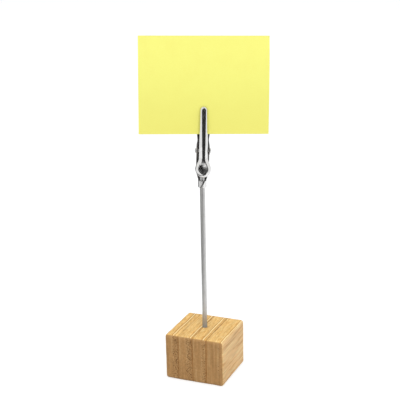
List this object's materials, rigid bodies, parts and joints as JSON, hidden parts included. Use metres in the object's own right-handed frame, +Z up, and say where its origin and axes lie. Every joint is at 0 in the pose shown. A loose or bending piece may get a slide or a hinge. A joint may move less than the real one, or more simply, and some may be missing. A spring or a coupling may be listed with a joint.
{
  "type": "desk memo clip",
  "caption": "Free-standing memo holder: a small laminated bamboo block, an upright steel wire and a sprung alligator clip that grips a paper note.",
  "frame": {"origin": "centre of the block's underside, on the desk", "axes": "+Z up along the wire, -Y out of the block's end-grain face, +X to that face's right"},
  "size_m": [0.0476, 0.0284, 0.1399],
  "materials": {
    "bamboo": "laminated bamboo, sanded, lightly sealed",
    "steel_wire": "drawn steel wire, satin",
    "nickel_plate": "bright nickel plate on pressed steel",
    "spring_wire": "spring wire",
    "paper": "plain matt paper"
  },
  "bodies": {
    "block": {"block_lamella_1": "bamboo", "block_lamella_2": "bamboo", "block_lamella_3": "bamboo", "block_lamella_4": "bamboo"},
    "stem": {"stem_rod": "steel_wire", "rear_jaw": "nickel_plate", "pivot_rivet": "nickel_plate", "torsion_spring": "spring_wire"},
    "lever": {"front_jaw": "nickel_plate"},
    "note": {"memo_note": "paper"}
  },
  "joints": [
    {"name": "stem_swivel", "type": "hinge", "parent": "block", "child": "stem", "pos_m": [0, 0, 0.0196], "axis": [0, 0, 1], "continuous": true},
    {"name": "jaw_pivot", "type": "hinge", "parent": "stem", "child": "lever", "pos_m": [0.0009, -0.00074, 0.09509], "axis": [0.9057, 0.4223, -0.0366], "range_deg": [0, 28], "stiffness_Nm_per_rad": 0.03, "springref_deg": -28.65, "deforming": ["torsion_spring"]},
    {"name": "note_pull", "type": "slide", "parent": "stem", "child": "note", "axis": [0.0036, 0.0787, 0.9969], "range_m": [0, 0.014]}
  ]
}
